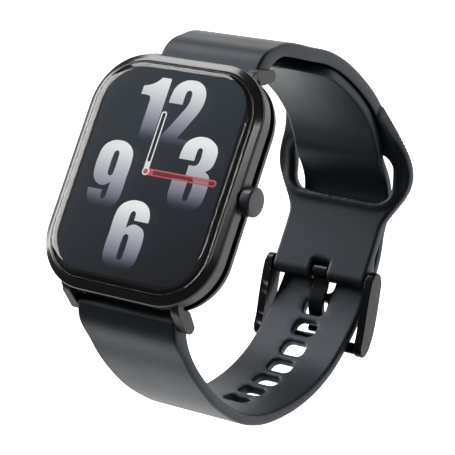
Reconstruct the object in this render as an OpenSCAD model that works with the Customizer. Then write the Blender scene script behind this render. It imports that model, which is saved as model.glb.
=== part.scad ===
// Smartwatch: a rounded rectangular case with a curved glass front, a side crown button,
// and a two-part silicone strap closed by a pin buckle. Millimetres.
// +X points to the crown (3 o'clock), +Y to 12 o'clock, +Z out of the dial.
// The origin is the centre of the sensor window's outer face, the lowest point of the case back.

/* [Case] */
// Width of the case at its widest edge, across the crown
case_w = 37.8; // [34:0.1:46]
// Length of the case at its widest edge, along the strap
case_l = 45.4; // [37:0.1:55]
// Corner radius of the case seen from the front
case_r = 10.7; // [8:0.1:12]
// Height of the widest edge above the back face
edge_z = 6.9; // [6.5:0.1:8.5]
// Height of the bezel ring above the widest edge
bezel_h = 2.4; // [2:0.1:3]
// How far the bezel leans in over its height
bezel_lean = 1.4; // [0.3:0.05:1.5]
// Thickness of the bezel's flat rim round the glass
rim_t = 0.25; // [0.2:0.05:0.6]
// Height of the middle case's outer wall below the widest edge
wall_h = 2.8; // [2.4:0.1:3.4]
// Thickness of the middle case's wall
wall_t = 2.4; // [2:0.1:3]

/* [Glass and display] */
// How far the glass stands above the bezel's rim
glass_rise = 1.1; // [0.6:0.1:1.6]
// Width of the curved shoulder along the glass edge
shoulder_w = 2.4; // [1.5:0.1:4]
// Depth of the glass below the bezel's rim
glass_seat = 0.3; // [0.2:0.05:0.5]
// Thickness of the adhesive under the glass
adhesive_t = 0.1; // [0.05:0.05:0.2]
// Thickness of the display panel
panel_t = 0.8; // [0.6:0.1:1]

/* [Back] */
// Thickness of the back cover
back_t = 1.0; // [0.8:0.1:1.4]
// How far the sensor window stands proud of the back cover
window_proud = 0.7; // [0.4:0.1:1]
// Radius of the sensor window
window_r = 9; // [7:0.1:11]
// Radius of a back screw's shank
screw_r = 0.6; // [0.5:0.05:0.8]
// Radius of a charging contact
contact_r = 0.9; // [0.6:0.1:1.3]
// Distance between the charging contacts
contact_gap = 4.4; // [3:0.1:6]

/* [Crown button] */
// Radius of the crown's cap
crown_r = 2.7; // [2.2:0.05:3.25]
// How far the cap stands out from the case
crown_out = 2.1; // [1.5:0.1:3]
// Position of the crown along the case, from the middle
crown_y = -0.5; // [-6:0.1:6]
// Radius of the crown's stem
stem_r = 0.7; // [0.5:0.05:0.8]
// How far the crown is pressed in
crown_travel = 0.4; // [0.2:0.05:0.5]

/* [Strap] */
// Width of the strap at the lugs
strap_w = 22; // [18:0.1:26.5]
// Thickness of the buckle half of the strap
strap_t = 2.3; // [2:0.1:2.8]
// Thickness of the hole half of the strap
tail_t = 2.1; // [1.8:0.1:2.5]
// Width of the hole half from its first hole to its tip
tail_w = 20.4; // [16:0.1:24]
// How far the buckle half bulges past its spring bar
bulge_top = 12.6; // [8:0.1:18]
// How far the hole half bulges past its spring bar
bulge_bottom = 10.2; // [7:0.1:15]
// Depth of the buckle's pin below the back face
loop_drop = 58.4; // [48.5:0.1:70.5]
// Distance of the buckle's pin from the middle, towards 12 o'clock
pin_y = 2.6; // [0:0.1:6]
// Half width of the flared keeper round its slot
flare_half = 15.8; // [14:0.1:19]
// Distance from the buckle's pin to the middle of the keeper slot, along the strap
slot_from_pin = 21.5; // [18:0.1:25]
// Length of the keeper slot along the strap
slot_l = 10.4; // [9.5:0.1:12]
// Distance between adjustment holes
hole_pitch = 5.4; // [5:0.1:7]
// Length of an adjustment hole along the strap
hole_l = 3.6; // [3.5:0.1:4]
// Width of an adjustment hole
hole_w = 5; // [4.4:0.1:6]
// Number of adjustment holes on the case side of the tongue's hole
holes_below = 6; // [3:1:6]

/* [Lugs and spring bars] */
// Width of a lug
lug_w = 1.9; // [1.6:0.1:2.4]
// Radius of a lug's rounded end
lug_r = 1.3; // [1.2:0.1:1.6]
// Distance of the spring bars beyond the case's end
bar_reach = 1.1; // [0.8:0.1:1.6]
// Height of the spring bars above the back face
bar_z = 1.5; // [1.2:0.1:1.8]
// Outer radius of a spring bar's tube
tube_r = 0.9; // [0.8:0.05:1]
// Radius of a spring bar's tips
tip_r = 0.4; // [0.35:0.05:0.5]
// Travel of a quick-release pin
release_travel = 1.3; // [1:0.1:1.5]

/* [Buckle] */
// Radius of the buckle's pin
pin_r = 0.8; // [0.6:0.05:1]
// Thickness of a buckle arm across the strap
arm_t = 1.8; // [1.4:0.1:2.4]
// Height of a buckle arm at its middle
arm_h = 4.6; // [4:0.1:5]
// Thickness of the buckle's crossbar
bar_t = 2.2; // [1.8:0.1:2.6]
// Width of the buckle's tongue
tongue_w = 3.4; // [2.8:0.1:3.8]
// Thickness of the buckle's tongue
tongue_t = 0.9; // [0.75:0.05:1]

/* [Hidden] */
$fn = 64;
// Gap left between neighbours that do not fit into each other.
gap = 0.15;
// Clearance of a shaft that turns or slides in its hole.
run = 0.03;

// ---- heights through the case ----
rim_z = edge_z + bezel_h;
glass_z = rim_z - glass_seat;
ledge_z = glass_z - adhesive_t;
top_z = rim_z + glass_rise;
wall_z = edge_z - wall_h;
back_z = window_proud;
floor_z = back_z + back_t;
bracket_t = 0.5;
bracket_z = edge_z - 0.3;
panel_z = glass_z - panel_t;
board_t = 0.6;
board_z = 4.6;

// ---- distances in from the case outline ----
glass_in = bezel_lean + rim_t + 0.1;
spigot_in = wall_t - 1.05;
cover_in = 0.3;
cavity_in = wall_t + 0.9;

// ---- helpers ----
// Runs a profile round a rounded rectangle. The profile's x is measured from the corner's centre.
module round_rim(w, l, r) {
    for (k = [0 : 3]) {
        long = k % 2 == 0 ? l : w;
        across = k % 2 == 0 ? w : l;
        rotate(90 * k) translate([across / 2 - r, long / 2 - r, 0]) {
            rotate([90, 0, 0]) linear_extrude(long - 2 * r) children();
            rotate_extrude(angle = 90) children();
        }
    }
}

// The same, with the middle filled between two heights.
module round_plate(w, l, r, z0, z1) {
    translate([-(w / 2 - r), -(l / 2 - r), z0]) cube([w - 2 * r, l - 2 * r, z1 - z0]);
    round_rim(w, l, r) children();
}

// A flat plate that follows the case outline, a distance in from it.
module case_plate(inset, z0, z1) {
    r = case_r - inset;
    round_plate(case_w - 2 * inset, case_l - 2 * inset, r, z0, z1)
        polygon([[0, z0], [r, z0], [r, z1], [0, z1]]);
}

// A ring that follows the case outline between two insets.
module case_ring(outer, inner, z0, z1) {
    round_rim(case_w, case_l, case_r)
        polygon([[case_r - inner, z0], [case_r - outer, z0], [case_r - outer, z1], [case_r - inner, z1]]);
}

module box(x0, x1, y0, y1, z0, z1) {
    translate([x0, y0, z0]) cube([x1 - x0, y1 - y0, z1 - z0]);
}

// A cylinder along X between two places, at a height and a place along Y.
module rod_x(x0, x1, r, y, z) {
    translate([x0, y, z]) rotate([0, 90, 0]) cylinder(h = x1 - x0, r = r);
}

// A side outline in Y and Z, drawn out along X.
module side_on(x0, x1) {
    translate([x0, 0, 0]) rotate([90, 0, 90]) linear_extrude(x1 - x0) children();
}

// ---- curves ----
// A smooth curve through points: Catmull-Rom, a number of steps a span.
function past(p, i) = i < 0 ? 2 * p[0] - p[1] : i >= len(p) ? 2 * p[len(p) - 1] - p[len(p) - 2] : p[i];
function blend(a, b, c, d, t) =
    0.5 * (2 * b + (c - a) * t + (2 * a - 5 * b + 4 * c - d) * t * t + (3 * b - a - 3 * c + d) * t * t * t);
function smooth(p, steps) = concat(
    [for (i = [0 : len(p) - 2]) for (k = [0 : steps - 1])
        blend(past(p, i - 1), p[i], p[i + 1], past(p, i + 2), k / steps)],
    [p[len(p) - 1]]);
function run_to(path, i) = i == 0 ? 0 : run_to(path, i - 1) + norm(path[i] - path[i - 1]);
function runs(path) = [for (i = [0 : len(path) - 1]) run_to(path, i)];
function span_of(dist, s) = max(0, min(len(dist) - 2, len([for (d = dist) if (d <= s) 1]) - 1));
function point_at(path, dist, s) = let (i = span_of(dist, s))
    path[i] + (path[i + 1] - path[i]) * (s - dist[i]) / (dist[i + 1] - dist[i]);
function along(path, dist, s) = let (d = point_at(path, dist, s + 0.5) - point_at(path, dist, s - 0.5)) d / norm(d);
function ease(t) = let (u = max(0, min(1, t))) u * u * (3 - 2 * u);
// The side that faces the wrist, for the buckle half and for the hole half.
function in_top(d) = [d[1], -d[0]];
function in_bottom(d) = [-d[1], d[0]];

// ---- the two halves of the strap, as centre lines in Y and Z ----
bar_y = case_l / 2 + bar_reach;
half = strap_w / 2;
eye_r = 2;
pin_z = -loop_drop;
pin_at = [pin_y, pin_z];
barrel_r = 2.15;

reach_top = bar_y + bulge_top;
top_line = smooth(concat(
    [[bar_y, bar_z], [bar_y + 2.8, bar_z - 0.5], [bar_y + 5.3, bar_z - 2.6], [bar_y + 7.8, bar_z - 6.2]],
    [for (p = [[0.93, 0.21], [0.98, 0.32], [1, 0.435], [0.99, 0.565], [0.955, 0.69], [0.885, 0.795],
               [0.775, 0.885], [0.64, 0.945], [0.485, 0.975]]) [reach_top * p[0], pin_z * p[1]]],
    [for (y = [9, 2, 0]) [pin_y + y, pin_z + eye_r - strap_t / 2]]), 6);
top_run = runs(top_line);
top_end = top_run[len(top_run) - 1];
slot_at = top_end - slot_from_pin;
tail_gap = 0.25;
// How far past the pin the tongue's notch runs.
notch_reach = 1.7;

// The tail of the hole half lies outside the buckle half, then crosses to its inside through the slot.
beside = strap_t / 2 + tail_t / 2 + tail_gap;
cross_l = slot_l + 1.6;
function tail_side(s) = beside * (2 * ease((slot_at + cross_l / 2 - s) / cross_l) - 1);
function beside_top(s) = point_at(top_line, top_run, s) + tail_side(s) * in_top(along(top_line, top_run, s));
tail_tip = top_end - 64;

reach_bottom = bar_y + bulge_bottom;
under_pin = pin_z - eye_r - tail_gap - tail_t / 2;
bottom_line = smooth(concat(
    [[-bar_y, bar_z], [-bar_y - 2, bar_z - 1.4], [-bar_y - 4, bar_z - 4.3]],
    [for (p = [[0.89, 0.13], [0.946, 0.226], [0.985, 0.322], [1, 0.42], [0.997, 0.517], [0.96, 0.617],
               [0.89, 0.713], [0.79, 0.808], [0.657, 0.897], [0.497, 0.967]])
        [-reach_bottom * p[0], pin_z * p[1]]],
    [[pin_y - 13.3, under_pin + 2.5], [pin_y - 7.5, under_pin + 0.85], [pin_y - 0.5, under_pin],
     [pin_y + 5.5, under_pin + 0.2]],
    [for (s = [top_end - 10.5, top_end - 13.5, slot_at + 5, slot_at + 2.5, slot_at, slot_at - 2.5,
               slot_at - 5, slot_at - 8, slot_at - 14, slot_at - 21, slot_at - 28, slot_at - 36,
               tail_tip]) beside_top(s)]), 6);
bottom_run = runs(bottom_line);
bottom_end = bottom_run[len(bottom_run) - 1];

// Where the hole half passes a place along Y on its way under the buckle.
function run_at_y(y) = let (i = min([for (k = [1 : len(bottom_line) - 1])
        if (bottom_line[k][1] < pin_z * 0.9 && bottom_line[k][0] >= y) k]))
    bottom_run[i - 1] + (bottom_run[i] - bottom_run[i - 1]) * (y - bottom_line[i - 1][0])
    / (bottom_line[i][0] - bottom_line[i - 1][0]);
tongue_at = run_at_y(pin_y - 7.5);

function strap_place(s, up) = point_at(bottom_line, bottom_run, s)
    + up * in_bottom(along(bottom_line, bottom_run, s));

// Half the thickness along each half: thick at the spring bar, then even.
function half_t(s, t) = s < 9 ? t / 2 + (barrel_r - 0.15 - t / 2) * pow(1 - ease(s / 9), 1.2) : t / 2;
function outline(path, dist, t) = let (n = len(path) - 1) concat(
    [for (i = [0 : n]) path[i] + half_t(dist[i], t) * in_top(along(path, dist, dist[i]))],
    [for (i = [n : -1 : 0]) path[i] - half_t(dist[i], t) * in_top(along(path, dist, dist[i]))]);

// ---- case parts ----
module cover_glass() {
    r = case_r - glass_in;
    w = case_w - 2 * glass_in;
    l = case_l - 2 * glass_in;
    // Shoulder: a quarter ellipse from the rim up to the flat top.
    edge = [for (a = [0 : 10 : 90])
        [r - shoulder_w * (1 - cos(a)), rim_z + glass_rise * sin(a)]];
    color("black") round_plate(w, l, r, glass_z, top_z)
        polygon(concat([[0, glass_z], [r, glass_z]], edge, [[0, top_z]]));
}

module glass_adhesive() {
    color("dimgray") case_ring(glass_in + 0.05, wall_t - 0.05, ledge_z, glass_z);
}

module display_panel() {
    color("midnightblue") case_plate(wall_t + 0.4, panel_z, glass_z);
}

module panel_backing() {
    color("gray") case_plate(wall_t + 1, panel_z - 0.2, panel_z);
}

// The crown's cap sinks into a shallow round pocket when it is pressed.
crown_x = case_w / 2;
crown_z = edge_z - 1.1;
pocket_x = crown_x - crown_travel - 0.05;
module crown_pocket() {
    rod_x(pocket_x, crown_x + 5, crown_r + 0.25, crown_y, crown_z);
}

module bezel() {
    color("black") difference() {
        round_rim(case_w, case_l, case_r)
            polygon([[case_r - spigot_in + 0.05, edge_z], [case_r, edge_z], [case_r - bezel_lean, rim_z],
                     [case_r - bezel_lean - rim_t, rim_z], [case_r - bezel_lean - rim_t, ledge_z],
                     [case_r - wall_t, ledge_z], [case_r - wall_t, ledge_z - 0.6],
                     [case_r - spigot_in + 0.05, ledge_z - 0.6]]);
        crown_pocket();
    }
}

// A lug's side outline: a round end hung from the case wall.
module lug_outline(grow) {
    translate([bar_y, bar_z]) circle(r = lug_r + grow);
    polygon([[case_l / 2 - 2.4 - grow, edge_z - 0.5], [bar_y - 1.1 + grow, edge_z - 1.5],
             [bar_y + (lug_r + grow) * cos(38), bar_z + (lug_r + grow) * sin(38)], [bar_y, bar_z],
             [bar_y + (lug_r + grow) * cos(250), bar_z + (lug_r + grow) * sin(250)],
             [case_l / 2 - 1.35 - grow, wall_z - 2.2 - grow], [case_l / 2 - 1.35 - grow, wall_z - 0.7],
             [case_l / 2 - 0.75 - grow, wall_z], [case_l / 2 - 2.4 - grow, wall_z]]);
}

module lugs(grow) {
    for (side = [-1, 1]) for (end = [0, 1]) {
        mirror([0, end, 0]) mirror([side < 0 ? 1 : 0, 0, 0])
            side_on(half + gap - grow, half + gap + lug_w + grow) lug_outline(grow);
    }
}

boss_r = 1.7;
boss_x = case_w / 2 - case_r + (case_r - wall_t - 1.4) * cos(45);
boss_y = case_l / 2 - case_r + (case_r - wall_t - 1.4) * sin(45);
module at_bosses() {
    for (x = [-boss_x, boss_x]) for (y = [-boss_y, boss_y]) translate([x, y, 0]) children();
}

bush_r = stem_r + 0.35;
bush_x = crown_x - wall_t - 0.2;
module middle_case() {
    color("dimgray") difference() {
        union() {
            round_rim(case_w, case_l, case_r)
                polygon([[case_r - wall_t, wall_z], [case_r - cover_in, wall_z], [case_r, edge_z],
                         [case_r - spigot_in, edge_z], [case_r - spigot_in, ledge_z - 0.65],
                         [case_r - wall_t, ledge_z - 0.65]]);
            lugs(0);
            at_bosses() translate([0, 0, wall_z]) cylinder(h = bracket_z - wall_z, r = boss_r);
        }
        at_bosses() translate([0, 0, wall_z - 1]) cylinder(h = 3, r = screw_r + run);
        crown_pocket();
        rod_x(bush_x - 1, crown_x, bush_r + 0.01, crown_y, crown_z);
        for (end = [-1, 1]) rod_x(-half - gap - lug_w + 0.7, half + gap + lug_w - 0.7, tip_r + 0.05,
                                  end * bar_y, bar_z);
    }
}

module inner_bracket() {
    color("darkslategray") difference() {
        case_plate(cavity_in - 0.2, bracket_z, bracket_z + bracket_t);
        // Opening for the display's ribbon, and a lightening window over the battery.
        box(ribbon_x - 0.5, ribbon_x + ribbon_w + 0.5, -case_l / 2 + cavity_in + 0.4, -case_l / 2 + cavity_in + 3,
            bracket_z - 1, edge_z + 2);
        box(-12, 1, -5, 9, bracket_z - 1, edge_z + 2);
        // Room for the crown's clip when the crown is pressed.
        box(clip_x - 0.6, case_w / 2, crown_y - 2, crown_y + 2, bracket_z - 1, edge_z + 2);
    }
}

board_x0 = 4.6;
board_x1 = case_w / 2 - cavity_in - 0.8;
board_y = case_l / 2 - cavity_in - 2.4;
module main_board() {
    color("darkgreen") union() {
        box(board_x0, boss_x - boss_r - 0.3, -board_y, board_y, board_z, board_z + board_t);
        box(board_x0, board_x1, -board_y + 4.5, board_y - 4.5, board_z, board_z + board_t);
        box(-9, board_x0, board_y - 3, board_y, board_z, board_z + board_t);
    }
}

module shield_can() {
    z0 = board_z + board_t;
    color("silver") difference() {
        box(board_x0 + 0.8, board_x1 - 2.2, 3, board_y - 5, z0, z0 + 1.2);
        box(board_x0 + 1, board_x1 - 2.4, 3.2, board_y - 5.2, z0 - 1, z0 + 1);
    }
}

module board_chips() {
    z0 = board_z + board_t;
    color("black") {
        box(board_x0 + 1.6, board_x0 + 5.6, 5, 9, z0, z0 + 0.8);
        box(board_x0 + 1.4, board_x0 + 4.4, -7, -3.4, z0, z0 + 0.9);
        box(board_x0 + 1.4, board_x0 + 5, -12.6, -9, z0, z0 + 0.8);
        box(-6, -2, board_y - 2.6, board_y - 0.6, z0, z0 + 0.7);
    }
}

battery_z = 3.3;
module battery() {
    w = board_x0 - 0.6 + case_w / 2 - cavity_in - 0.7;
    l = board_y - 3.6 - (motor_y + motor_r + 0.4);
    translate([board_x0 - 0.6 - w / 2, board_y - 3.6 - l / 2, 0]) color("silver")
        round_plate(w, l, 1.2, battery_z, bracket_z - 0.2)
            polygon([[0, battery_z], [1.2, battery_z], [1.2, bracket_z - 0.2], [0, bracket_z - 0.2]]);
}

module antenna_strip() {
    z0 = bracket_z + bracket_t;
    color("goldenrod") box(-10, 10, case_l / 2 - cavity_in - 1.6, case_l / 2 - cavity_in - 0.4, z0, z0 + 0.12);
}

// The display's ribbon leaves the panel, passes the bracket and lies on the board.
ribbon_w = 8;
ribbon_t = 0.12;
module display_flex() {
    y0 = -case_l / 2 + cavity_in + 0.8;
    z_top = panel_z - 0.2;
    z_low = board_z + board_t;
    x1 = max(ribbon_x + ribbon_w, board_x0 + 5);
    color("chocolate") union() {
        box(ribbon_x, ribbon_x + ribbon_w, y0, y0 + 5, z_top - ribbon_t, z_top);
        box(ribbon_x, ribbon_x + ribbon_w, y0, y0 + ribbon_t, z_low, z_top);
        box(ribbon_x, x1, y0, y0 + 1.5, z_low, z_low + ribbon_t);
        box(board_x0 + 1, x1, y0, -board_y + 2.5, z_low, z_low + ribbon_t);
    }
}

// ---- vibration motor: a coin motor beside the battery ----
motor_r = 4;
motor_x = -6.5;
motor_y = -case_l / 2 + cavity_in + motor_r + 1.2;
motor_h = 2.7;
ribbon_x = motor_x + motor_r + 0.6;
module motor_at(z) {
    translate([motor_x, motor_y, z]) children();
}

module motor_can() {
    color("silver") motor_at(battery_z + 0.3) difference() {
        cylinder(h = motor_h - 0.3, r = motor_r);
        translate([0, 0, -1]) cylinder(h = motor_h + 0.4, r = motor_r - 0.3);
    }
}

module motor_base() {
    color("gray") motor_at(battery_z) union() {
        cylinder(h = 0.3, r = motor_r);
        cylinder(h = motor_h - 0.35, r = 0.4);
    }
}

module motor_weight() {
    color("gold") motor_at(battery_z + 0.6) difference() {
        union() {
            cylinder(h = 1.4, r = 1.1);
            intersection() {
                cylinder(h = 1.4, r = motor_r - 0.6);
                translate([-5, -10, 0]) cube([10, 10, 2]);
            }
        }
        translate([0, 0, -1]) cylinder(h = 4, r = 0.4 + run);
    }
}

// ---- crown button ----
stem_x0 = crown_x - wall_t - 1.2;
clip_x = bush_x - 0.47;
module crown_cap() {
    color("dimgray") difference() {
        translate([crown_x + 0.05, crown_y, crown_z]) rotate([0, 90, 0]) rotate_extrude()
            polygon([[0, 0], [crown_r, 0], [crown_r, crown_out - 0.3], [crown_r - 0.25, crown_out - 0.05],
                     [0, crown_out - 0.05]]);
        rod_x(crown_x - 1, crown_x + 1.15, stem_r + 0.01, crown_y, crown_z);
    }
}

module crown_stem() {
    color("silver") difference() {
        rod_x(stem_x0, crown_x + 1.1, stem_r, crown_y, crown_z);
        // Grooves for the O-ring and for the clip.
        for (g = [[bush_x + 0.8, 0.45], [clip_x, 0.27]]) difference() {
            rod_x(g[0], g[0] + g[1], stem_r + 1, crown_y, crown_z);
            rod_x(g[0] - 1, g[0] + g[1] + 1, stem_r - 0.2, crown_y, crown_z);
        }
    }
}

module crown_bush() {
    color("silver") difference() {
        rod_x(bush_x, pocket_x - 0.1, bush_r, crown_y, crown_z);
        rod_x(bush_x - 1, crown_x, stem_r + run, crown_y, crown_z);
    }
}

module crown_o_ring() {
    ring_r = 0.1;
    color("black") translate([bush_x + 1.02, crown_y, crown_z]) rotate([0, 90, 0]) rotate_extrude()
        translate([stem_r - 0.2 + ring_r + 0.01, 0]) circle(r = ring_r);
}

module crown_washer() {
    color("white") difference() {
        rod_x(bush_x - 0.18, bush_x - 0.02, bush_r + 0.35, crown_y, crown_z);
        rod_x(bush_x - 1, bush_x + 1, stem_r + run, crown_y, crown_z);
    }
}

module crown_clip() {
    color("silver") difference() {
        rod_x(clip_x + 0.02, clip_x + 0.25, bush_r + 0.2, crown_y, crown_z);
        rod_x(clip_x - 1, clip_x + 1, stem_r - 0.19, crown_y, crown_z);
        // The mouth that lets the clip on to the stem.
        box(clip_x - 1, clip_x + 1, crown_y - stem_r + 0.28, crown_y + stem_r - 0.28, crown_z, crown_z + 3);
    }
}

plunger_r = 0.45;
switch_x = stem_x0 - 0.8;
module switch_body() {
    color("black") difference() {
        box(switch_x - 2, switch_x, crown_y - 1.8, crown_y + 1.8, board_z + board_t, crown_z + 0.65);
        rod_x(switch_x - 0.9, switch_x + 1, plunger_r + run, crown_y, crown_z);
    }
}

module switch_plunger() {
    color("white") rod_x(switch_x - 0.4, stem_x0 - 0.02, plunger_r, crown_y, crown_z);
}

// ---- back ----
// The cover's outer side curves in from the wall to the flat back.
cover_sweep = 4.5;
module cover_solid() {
    r = case_r - cover_in;
    side = [for (a = [90 : -10 : 0])
        [r - cover_sweep * (1 - cos(a)), wall_z - (wall_z - back_z) * sin(a)]];
    round_plate(case_w - 2 * cover_in, case_l - 2 * cover_in, r, back_z, wall_z)
        polygon(concat([[0, back_z]], side, [[0, wall_z]]));
}

gasket_in = 1.5;
lip_top = wall_z + 1.2;
module back_cover() {
    color("black") difference() {
        union() {
            difference() {
                cover_solid();
                case_plate(cavity_in + 0.2, floor_z, wall_z + 1);
            }
            // The lip that locates the cover inside the middle case.
            difference() {
                case_ring(wall_t + 0.05, cavity_in + 0.2, wall_z - 0.5, lip_top);
                at_bosses() translate([0, 0, wall_z]) cylinder(h = 4, r = boss_r + gap);
                box(0, case_w, crown_y - 3, crown_y + 3, wall_z, lip_top + 1);
            }
            at_bosses() translate([0, 0, floor_z - 0.5]) cylinder(h = wall_z - floor_z + 0.5, r = boss_r);
        }
        round_rim(case_w, case_l, case_r)
            polygon([[case_r - gasket_in - 0.4, wall_z - 0.5], [case_r - gasket_in + 0.4, wall_z - 0.5],
                     [case_r - gasket_in + 0.4, wall_z + 0.01], [case_r - gasket_in - 0.4, wall_z + 0.01]]);
        at_bosses() {
            translate([0, 0, -1]) cylinder(h = 9, r = screw_r + 0.1);
            translate([0, 0, -1]) cylinder(h = 1 + back_z + 0.75, r = 2 * screw_r + 0.1);
        }
        translate([0, 0, -1]) cylinder(h = 4, r = window_r + 0.02);
        for (x = [-1, 1]) translate([x * contact_gap / 2, contact_y, -1]) cylinder(h = 4, r = contact_r + 0.02);
        crown_pocket();
        lugs(gap);
        for (end = [-1, 1]) rod_x(-half - gap, half + gap, barrel_r + 0.3, end * bar_y, bar_z);
    }
}

module back_gasket() {
    color("red") case_ring(gasket_in - 0.38, gasket_in + 0.38, wall_z - 0.48, wall_z);
}

module back_screws() {
    color("silver") at_bosses() difference() {
        union() {
            translate([0, 0, back_z + 0.2]) cylinder(h = 0.55, r = 2 * screw_r);
            translate([0, 0, back_z + 0.2]) cylinder(h = wall_z + 1.7 - back_z, r = screw_r);
        }
        // Five-pointed drive recess, as a five-sided socket.
        translate([0, 0, back_z]) cylinder(h = 0.5, r = screw_r, $fn = 5);
    }
}

module sensor_window() {
    color("black") union() {
        rotate_extrude() polygon([[0, 0], [window_r - 1.4, 0], [window_r - 0.6, 0.12], [window_r, 0.55],
                                  [window_r, floor_z], [0, floor_z]]);
        translate([0, 0, floor_z]) cylinder(h = 0.3, r = window_r + 0.8);
    }
}

sensor_z = floor_z + 0.3;
module sensor_board() {
    color("darkgreen") difference() {
        translate([0, 0, sensor_z + 0.5]) cylinder(h = 0.5, r = window_r - 0.8);
        translate([0, 0, sensor_z - 1]) cylinder(h = 4, r = 0.6);
    }
}

module sensor_leds() {
    color("lime") for (x = [-1, 1]) translate([x * 1.5 - 0.6, -0.6 - 1.6, sensor_z + 0.02])
        cube([1.2, 1.2, 0.48]);
    color("lime") translate([-0.6, 1.4, sensor_z + 0.02]) cube([1.2, 1.2, 0.48]);
}

module photodiodes() {
    color("dimgray") for (x = [-5.2, 5.2]) translate([x - 1.1, -1.3, sensor_z + 0.02]) cube([2.2, 2.6, 0.48]);
}

contact_y = -window_r - 4.4;
module charge_contacts() {
    color("gold") for (x = [-1, 1]) translate([x * contact_gap / 2, contact_y, 0]) union() {
        translate([0, 0, back_z - 0.15]) cylinder(h = back_t + 0.15, r = contact_r);
        translate([0, 0, floor_z]) cylinder(h = 0.4, r = contact_r + 0.5);
    }
}

module charge_magnets() {
    color("silver") for (x = [-1, 1]) translate([x * (contact_gap / 2 + 5), contact_y, floor_z])
        cylinder(h = 1.4, r = 2.2);
}

// ---- strap ----
// Seen along Z, the buckle half widens round its slot and narrows again towards the buckle.
flare_y = point_at(top_line, top_run, slot_at - 0.8)[0];
function bump(u) = abs(u) >= 1 ? 0 : pow(cos(90 * u), 1.6);
module flare_plan() {
    side = [for (u = [-1 : 0.1 : 1]) [half + (flare_half - half) * bump(u), flare_y + 11 * u]];
    far = reach_top + 6;
    polygon(concat([[0, -30], [half, -30]], side, [[half, far], [0, far]]));
}

module strap_buckle_half() {
    drop = pin_z * 0.72;
    color("black") difference() {
        union() {
            side_on(-half, half) polygon(outline(top_line, top_run, strap_t));
            rod_x(-half, half, barrel_r, bar_y, bar_z);
            rod_x(-half, half, eye_r, pin_y, pin_z);
            intersection() {
                side_on(-flare_half, flare_half) polygon(outline(top_line, top_run, strap_t));
                translate([0, 0, pin_z - 10]) linear_extrude(drop - pin_z + 10) union() {
                    flare_plan();
                    mirror([1, 0]) flare_plan();
                }
            }
        }
        rod_x(-half - 1, half + 1, tube_r + 0.05, bar_y, bar_z);
        release_pocket(bar_y);
        rod_x(-half - 1, half + 1, pin_r + run, pin_y, pin_z);
        // The notch for the tongue's eye.
        box(-tongue_w / 2 - 0.3, tongue_w / 2 + 0.3, pin_y - 5, pin_y + notch_reach, pin_z - 5, pin_z + 5);
        keeper_slot();
    }
}

slot_half = tail_w / 2 + 1.6;
module keeper_slot() {
    p = point_at(top_line, top_run, slot_at);
    d = along(top_line, top_run, slot_at);
    r = 2;
    translate([0, p[0], p[1]]) rotate([atan2(d[1], d[0]) - 180, 0, 0])
        translate([0, 0, -8]) round_plate(2 * slot_half, slot_l, r, 0, 16)
            polygon([[0, 0], [r, 0], [r, 16], [0, 16]]);
}

// The slot on the wrist side through which the quick-release knob is reached.
release_x = half - 5;
module release_pocket(y) {
    box(release_x - release_travel - 1.2, release_x + 1.2, y - 0.8, y + 0.8, bar_z - 5, bar_z);
}

// Where the hole half starts to narrow towards its holes, and how wide it is on the way down.
module strap_hole_half() {
    th = tail_w / 2;
    z_low = pin_z * 0.75;
    color("black") difference() {
        intersection() {
            union() {
                side_on(-half, half) polygon(outline(bottom_line, bottom_run, tail_t));
                rod_x(-half, half, barrel_r, -bar_y, bar_z);
            }
            union() {
                // Down the front: from the lugs' width to the tail's.
                translate([0, -9, 0]) rotate([90, 0, 0]) linear_extrude(60)
                    polygon([[half, bar_z + 5], [half, pin_z * 0.2], [th, z_low], [th, pin_z - 9],
                             [-th, pin_z - 9], [-th, z_low], [-half, pin_z * 0.2], [-half, bar_z + 5]]);
                // Across the bottom and up the tail, to its rounded tip.
                translate([0, 60, 0]) rotate([90, 0, 0]) linear_extrude(70) tail_plan(th);
            }
        }
        rod_x(-half - 1, half + 1, tube_r + 0.05, -bar_y, bar_z);
        release_pocket(-bar_y);
        for (k = [-1 : holes_below]) adjustment_hole(tongue_at - k * hole_pitch);
    }
}

// The tail seen from the front: straight sides and a broad round tip.
module tail_plan(th) {
    tip_z = point_at(bottom_line, bottom_run, bottom_end)[1];
    polygon(concat([[-th, pin_z - 9], [th, pin_z - 9]],
        [for (a = [0 : 9 : 180]) [th * cos(a), tip_z - 6.5 + 6.5 * pow(sin(a), 0.8)]]));
}

module adjustment_hole(s) {
    p = point_at(bottom_line, bottom_run, s);
    d = along(bottom_line, bottom_run, s);
    r = 1.2;
    translate([0, p[0], p[1]]) rotate([atan2(d[1], d[0]), 0, 0])
        translate([0, 0, -3]) round_plate(hole_w, hole_l, r, 0, 6)
            polygon([[0, 0], [r, 0], [r, 6], [0, 6]]);
}

// ---- spring bars, the same at both ends of the case ----
tube_half = half - 0.6;
module bar_tube(y) {
    color("silver") difference() {
        rod_x(-tube_half, tube_half, tube_r, y, bar_z);
        rod_x(-tube_half - 1, tube_half + 1, tube_r - 0.25, y, bar_z);
        // The slot that the release knob slides in.
        box(release_x - release_travel - 0.7, release_x + 0.7, y - 0.55, y + 0.55, bar_z - 3, bar_z);
    }
}

tip_out = half + gap + lug_w - 0.85;
module bar_tip(y) {
    color("silver") union() {
        rod_x(-tip_out, -tube_half + 1, tip_r, y, bar_z);
        rod_x(-tube_half + 0.4, -tube_half + 4, tube_r - 0.25 - run, y, bar_z);
    }
}

module bar_release(y) {
    color("silver") union() {
        rod_x(tube_half - 1, tip_out, tip_r, y, bar_z);
        rod_x(release_x - 1.4, tube_half - 0.4, tube_r - 0.25 - run, y, bar_z);
        translate([release_x, y, bar_z - 2.3]) cylinder(h = 2.3, r = 0.45);
        translate([release_x, y, bar_z - 2.6]) cylinder(h = 0.6, r = 0.6);
    }
}

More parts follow.
